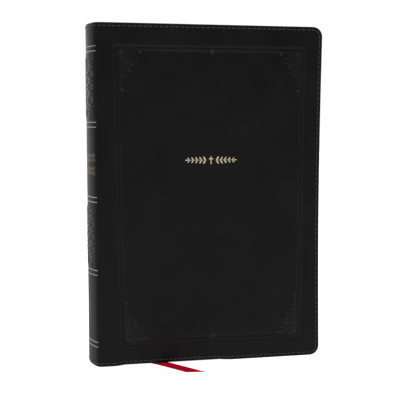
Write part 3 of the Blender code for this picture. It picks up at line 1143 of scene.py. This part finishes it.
# a spine panel: flowers up the middle, and flowers and leaves in turn to both sides
def addSpinePanel(shape, low, high):
    rise = relief["spineRise"]
    inner, middle, outer = (relief[key] for key in ("panelInner", "panelMiddle", "panelOuter"))
    rows = max(2, round((high - low) / relief["panelPitch"]))
    pitch = (high - low) / rows
    for i in range(rows + 1):
        z = low + pitch * i
        for side in (-1, 1):
            base = 0 if side > 0 else math.pi
            if 0 < i < rows:
                addFlower(shape, side * inner, z, 2.5 * mm, 5, 0.9, rise)
                addFlower(shape, side * outer, z, 1.9 * mm, 5, 0.2, rise)
            addFan(shape, side * inner, z, base, 2.3 * mm, (-0.75, 0, 0.75), 3.4 * mm, rise)
        addFan(shape, 0, z, 0, 0.5 * mm, [math.pi / 2 * k for k in range(4)], 2.9 * mm, rise)
    for i in range(rows):
        z = low + pitch * (i + 0.5)
        addFlower(shape, 0, z, 3.3 * mm, 6, math.pi / 6, rise)
        for side in (-1, 1):
            base = 0 if side > 0 else math.pi
            addFan(shape, 0, z, base, 3.2 * mm, (-1.15, -0.6, 0, 0.6, 1.15), 3.6 * mm, rise)
            addFlower(shape, side * middle, z, 2.5 * mm, 5, 0.3 + side, rise)
            addFan(shape, side * middle, z, base, 2.3 * mm, (-0.8, 0, 0.8), 3.2 * mm, rise)
            addFan(shape, side * middle, z, base + math.pi, 2.3 * mm, (-0.8, 0.8), 2.6 * mm, rise)


def addSpineTooling():
    shape = bmesh.new()
    for low, high in relief["spinePanels"]:
        addSpinePanel(shape, low, high)
    wrapShape(shape)
    piece = addPiece("spineFloralTooling", shape, spineTooling, 60)
    bendAtMiddle(piece)


addFrontTooling()
addSpineTooling()
print("blind tooling is laid")


# ---- gold: a device in the middle of the cover, and double rules and two rows of sprigs on the spine

gold = {
    "rise": 0.05 * mm,
    "sink": 0.15 * mm,
    "device": (2.0 * mm, 145.2 * mm),
    "deviceWidth": 37.6 * mm,
    "deviceHeight": 5.6 * mm,
    "deviceStart": 3.4 * mm,
    "deviceLeaves": 5,
    "crossWidth": 0.62 * mm,
    "midrib": 0.26 * mm,
    "ruleHeights": (222.2, 170.2, 118.2, 67, 16),
    "ruleGap": 3.35 * mm,
    "ruleWidth": 0.5 * mm,
    "ruleEnd": 18.9 * mm,
    "ornaments": (147.2 * mm, 138.2 * mm),
    "sprigStart": 3.4 * mm,
    "sprigReach": 17.6 * mm,
    "sprigLeaves": 6,
    "sprigLeaf": (3.3 * mm, 0.46 * mm),
    "starLeaf": (1.9 * mm, 0.7 * mm),
}


# a thin flat bar of foil from one place to another
def addBar(shape, start, end, width):
    bar = bmesh.new()
    bmesh.ops.create_cube(bar, size=1)
    step = Vector(end) - Vector(start)
    middle = (Vector(start) + Vector(end)) / 2
    for vert in bar.verts:
        x, y, up = vert.co
        vert.co = (x * step.length, y * width, gold["rise"] if up > 0 else -gold["sink"])
    layDown(shape, bar, middle.x, middle.y, math.atan2(step.y, step.x))


def addFoilLeaf(shape, run, z, angle, length, width):
    leaf = newBead(6, 8)
    for vert in leaf.verts:
        x, y, up = vert.co
        y *= 1 - 0.5 * x * x
        rise = gold["rise"] * 1.6 * up if up > 0 else gold["sink"] * up
        vert.co = ((x + 1) * length / 2, y * width / 2, rise)
    layDown(shape, leaf, run, z, angle)


# a level sprig of paired leaves to each side of a small star
def addSprig(shape, z):
    leaves = gold["sprigLeaves"]
    for toRight in (-1, 1):
        base = 0 if toRight > 0 else math.pi
        for i in range(leaves):
            at = toRight * between(gold["sprigStart"], gold["sprigReach"] - 1.8 * mm, i / (leaves - 1))
            for turn in (-1.1, 1.1):
                addFoilLeaf(shape, at, z, base + turn, *gold["sprigLeaf"])
    for k in range(4):
        addFoilLeaf(shape, 0, z, math.pi / 2 * k, *gold["starLeaf"])


# a small cross between two level sprigs
def addCoverDevice():
    shape = bmesh.new()
    x, z = gold["device"]
    run = runOf(x)
    high = gold["deviceHeight"]
    addBar(shape, (run, z - high / 2), (run, z + high / 2), gold["crossWidth"])
    armAt = z + high * 0.16
    addBar(shape, (run - high * 0.3, armAt), (run + high * 0.3, armAt), gold["crossWidth"])
    leaves = gold["deviceLeaves"]
    start = gold["deviceStart"]
    reach = gold["deviceWidth"] / 2
    for toRight in (-1, 1):
        base = 0 if toRight > 0 else math.pi
        addBar(shape, (run + toRight * start, z), (run + toRight * (reach - 1.6 * mm), z), gold["midrib"])
        for i in range(leaves):
            share = i / (leaves - 1)
            at = run + toRight * between(start + 0.4 * mm, reach - 3.2 * mm, share)
            size = between(3.2, 2.3, share) * mm
            for turn in (-0.95, 0.95):
                addFoilLeaf(shape, at, z, base + turn, size, size * 0.34)
        addFoilLeaf(shape, run + toRight * (reach - 2.2 * mm), z, base, 2.2 * mm, 0.85 * mm)
    wrapShape(shape)
    piece = addPiece("goldCoverDevice", shape, goldFoil, 50)
    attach(piece, "front_cover")


def addSpineGold():
    shape = bmesh.new()
    end = gold["ruleEnd"]
    for middle in gold["ruleHeights"]:
        for side in (-0.5, 0.5):
            z = middle * mm + side * gold["ruleGap"]
            addBar(shape, (-end, z), (end, z), gold["ruleWidth"])
    for run in caseRuns():
        if abs(run) < end:
            bisectAll(shape, (run, 0, 0), (1, 0, 0))
    for z in gold["ornaments"]:
        addSprig(shape, z)
    wrapShape(shape)
    piece = addPiece("goldSpineRules", shape, wornFoil, 50)
    bendAtMiddle(piece)


addCoverDevice()
addSpineGold()
print("gold is stamped")


# ---- the text block: sections of pages, single leaves, and the fold in the middle

block = {
    "sections": 6,
    "close": 0.14 * mm,
    "leafPitch": 0.26 * mm,
    "leafGroove": 0.06 * mm,
    "leafHalf": 0.27 * mm,
    "rootGap": 0.35 * mm,
    "foldAt": -81.8 * mm,
    "foldSides": (-0.92 * mm, 1.52 * mm),
    "foldThick": 0.08 * mm,
    "foldReach": -70 * mm,
}


def copyOfNode(name):
    shape = bmesh.new()
    shape.from_mesh(nodes[name].data)
    bmesh.ops.remove_doubles(shape, verts=shape.verts, dist=1e-6)
    return shape


# the fine steps that the single pages make along the cut edges of a section
def cutLeafLines(shape, low, high, chance):
    count = round((high - low) / block["leafPitch"])
    lines = [between(low, high, (i + 0.5) / count) for i in range(count)]
    for y in lines:
        bisectAll(shape, (0, y, 0), (0, 1, 0))
    shape.normal_update()
    for index, y in enumerate(lines):
        depth = block["leafGroove"] * (chance.uniform(0.6, 1.2) if index % 2 else chance.uniform(-0.1, 0.2))
        for vert in shape.verts:
            if abs(vert.co.y - y) < 1e-6 and vert.co.x > -80 * mm:
                inward = Vector((vert.normal.x, 0, vert.normal.z))
                if inward.length > 0.3:
                    vert.co -= inward.normalized() * depth


def addSections():
    chance = random.Random(7)
    for side in ("front", "back"):
        for number in range(1, block["sections"] + 1):
            name = f"section_{side}_{number}"
            shape = copyOfNode(name)
            low, high = (point.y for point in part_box(name))
            inner = block["close"] if number > 1 else 0
            outer = block["close"] if number < block["sections"] else 0
            down, up = (outer, inner) if side == "front" else (inner, outer)
            for vert in shape.verts:
                share = (vert.co.y - low) / (high - low)
                vert.co.y = between(low - down, high + up, share)
            cutLeafLines(shape, low - down, high + up, chance)
            piece = addPiece(f"{side}Section{number}", shape, giltPages, 25)
            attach(piece, side + "_half")
            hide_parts(name)


def addLeaves():
    for number in (1, 2, 3):
        name = f"leaf_{number}"
        shape = copyOfNode(name)
        low, high = (point.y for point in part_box(name))
        middle = (low + high) / 2
        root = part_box(name)[0].x
        for vert in shape.verts:
            vert.co.y = middle + (vert.co.y - middle) * block["leafHalf"] * 2 / (high - low)
            if vert.co.x < root + block["rootGap"]:
                vert.co.x = root + block["rootGap"]
        piece = addPiece(f"looseLeaf{number}", shape, giltPages, 25)
        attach(piece, name)
        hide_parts(name)


# a thin sheet through rows of points, standing between two heights
def standingSheet(outline, low, high, thick, rows=2):
    shape = bmesh.new()
    bmesh.ops.create_grid(shape, x_segments=len(outline) - 1, y_segments=rows, size=0.5)
    for vert in shape.verts:
        x, y = outline[round((vert.co.x + 0.5) * (len(outline) - 1))]
        vert.co = (x, y, between(low, high, vert.co.y + 0.5))
    bmesh.ops.recalc_face_normals(shape, faces=shape.faces)
    bmesh.ops.solidify(shape, geom=shape.faces[:], thickness=thick)
    bmesh.ops.recalc_face_normals(shape, faces=shape.faces)
    return shape


# the fold of the middle sheet, which closes the gutter when the book is opened there
def addMiddleFold():
    front, back = block["foldSides"]
    reach = block["foldReach"]
    outline = [(x, front) for x in evenly(block["foldAt"], reach, 2 * mm)[::-1]]
    outline += [(block["foldAt"], y) for y in evenly(front, back, 0.15 * mm)[1:-1]]
    outline += [(x, back) for x in evenly(block["foldAt"], reach, 2 * mm)]
    shape = standingSheet(outline, blockLow.z, blockHigh.z, block["foldThick"])
    piece = addPiece("middleFold", shape, giltPages, 25)
    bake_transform(piece, "front_half", "back_half", start=(spineLow.x, front, 0), end=(spineLow.x, back, 0))


addSections()
addLeaves()
addMiddleFold()
print("text block is gathered")


# ---- head and tail bands, mull and spine lining

backing = {
    "bandInset": 3.4 * mm,
    "bandRadius": 0.9 * mm,
    "bandWinds": 84,
    "bandHalf": 15.3 * mm,
    "liningDepth": (1.1 * mm, 1.45 * mm),
    "liningMargin": 4 * mm,
    "liningRun": 18.4 * mm,
    "mullDepth": (1.75 * mm, 2.0 * mm),
    "mullMargin": 9 * mm,
    "mullRun": 16.3 * mm,
}


# a roll of silk spun about the spine's own centre, with a ridge at every wind
def addBand(name, z, solids):
    radius = spineRadius - backing["bandInset"]
    reach = math.asin(backing["bandHalf"] / radius)
    shape = bmesh.new()
    ring = bmesh.ops.create_circle(shape, cap_ends=False, segments=12, radius=backing["bandRadius"])["verts"]
    bmesh.ops.rotate(shape, verts=ring, cent=(0, 0, 0), matrix=Matrix.Rotation(math.pi / 2, 3, "X"))
    bmesh.ops.translate(shape, verts=ring, vec=(spineCentre - radius, 0, z))
    bmesh.ops.rotate(shape, verts=ring, cent=(spineCentre, 0, z), matrix=Matrix.Rotation(reach, 3, "Z"))
    bmesh.ops.spin(shape, geom=ring + shape.edges[:], cent=(spineCentre, 0, z), axis=(0, 0, 1),
                   angle=-2 * reach, steps=2 * backing["bandWinds"], use_duplicate=False)
    bmesh.ops.remove_doubles(shape, verts=shape.verts, dist=1e-7)
    for vert in shape.verts:
        angle = math.atan2(vert.co.y, spineCentre - vert.co.x)
        step = round((angle / (2 * reach) + 0.5) * 2 * backing["bandWinds"])
        middle = Vector((spineCentre - radius * math.cos(angle), radius * math.sin(angle), z))
        if step % 2:
            vert.co = middle + (vert.co - middle) * 0.9
    bmesh.ops.holes_fill(shape, edges=[edge for edge in shape.edges if edge.is_boundary], sides=0)
    bmesh.ops.recalc_face_normals(shape, faces=shape.faces)
    piece = addPiece(name, shape, bandSilk, 70)
    bendAtMiddle(piece)
    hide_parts(*solids)


# a layer glued round the back, inside the case
def addBackingLayer(name, finish, depth, margin, reach, solids):
    shape = bmesh.new()
    runs = sortedCuts([-reach, reach], [run for run in caseRuns() if abs(run) < reach], 0.1 * mm)
    bmesh.ops.create_grid(shape, x_segments=len(runs) - 1, y_segments=12, size=0.5)
    for vert in shape.verts:
        run = runs[round((vert.co.x + 0.5) * (len(runs) - 1))]
        vert.co = (run, between(margin, height - margin, vert.co.y + 0.5), -depth[0])
    bmesh.ops.solidify(shape, geom=shape.faces[:], thickness=depth[1] - depth[0])
    wrapShape(shape)
    bmesh.ops.recalc_face_normals(shape, faces=shape.faces)
    piece = addPiece(name, shape, finish)
    bendAtMiddle(piece)
    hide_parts(*solids)


headLow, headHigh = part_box("headband_front")
tailLow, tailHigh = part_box("tailband_front")
addBand("headBand", (headLow.z + headHigh.z) / 2, ("headband_front", "headband_back"))
addBand("tailBand", (tailLow.z + tailHigh.z) / 2, ("tailband_front", "tailband_back"))
addBackingLayer("spineLining", greyCard, backing["liningDepth"], backing["liningMargin"],
                backing["liningRun"], ("spine_lining_front", "spine_lining_back"))
addBackingLayer("gauzeMull", gauze, backing["mullDepth"], backing["mullMargin"],
                backing["mullRun"], ("mull_front", "mull_back"))


# ---- endpapers: the pastedown bends with its cover, and meets the strip that is glued to the block

endSheet = {
    "pasteAt": 16.72 * mm,
    "gluedAt": 15.5 * mm,
    "foldBack": -77.3 * mm,
    "gluedFrom": -75.4 * mm,
    "margin": 8.35 * mm,
    "thick": 0.2 * mm,
}


def addEndSheet(side, toFront):
    paste = endSheet["pasteAt"]
    glued = endSheet["gluedAt"]
    fold = endSheet["foldBack"]
    radius = (paste - glued) / 2
    middle = (paste + glued) / 2
    angles = [math.pi * i / 8 for i in range(9)]
    turn = [(fold - radius * math.sin(angle), middle + radius * math.cos(angle)) for angle in angles]
    onCover = evenly(bends["hingeTo"] + 1 * mm, foreEdge - endSheet["margin"], 6 * mm)[::-1]
    onCover += evenly(fold, bends["hingeTo"] + 1 * mm, 0.35 * mm)[::-1]
    pasted = [(x, paste) for x in onCover] + turn[1:5]
    strip = turn[4:] + [(x, glued) for x in evenly(fold, endSheet["gluedFrom"], 0.6 * mm)[1:]]
    made = {}
    for name, outline in (("EndSheet", pasted), ("HingeStrip", strip)):
        outline = [(x, toFront * y) for x, y in outline]
        shape = standingSheet(outline, endSheet["margin"], height - endSheet["margin"], endSheet["thick"], 12)
        made[name] = addPiece(side + name, shape, endpaper)
    bendAtHinge(made["EndSheet"], side)
    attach(made["HingeStrip"], side + "_half")
    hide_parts(side + "_pastedown")


addEndSheet("front", -1)
addEndSheet("back", 1)

# the pieces that stay as they are get their own finish
for name, node in nodes.items():
    if node.hide_render:
        continue
    if name.startswith("sewing_thread"):
        looks = sewingThread
    elif name.endswith("flyleaf"):
        looks = endpaper
    else:
        looks = greyCard
    node.data.materials.clear()
    node.data.materials.append(looks)
print("binding is finished")
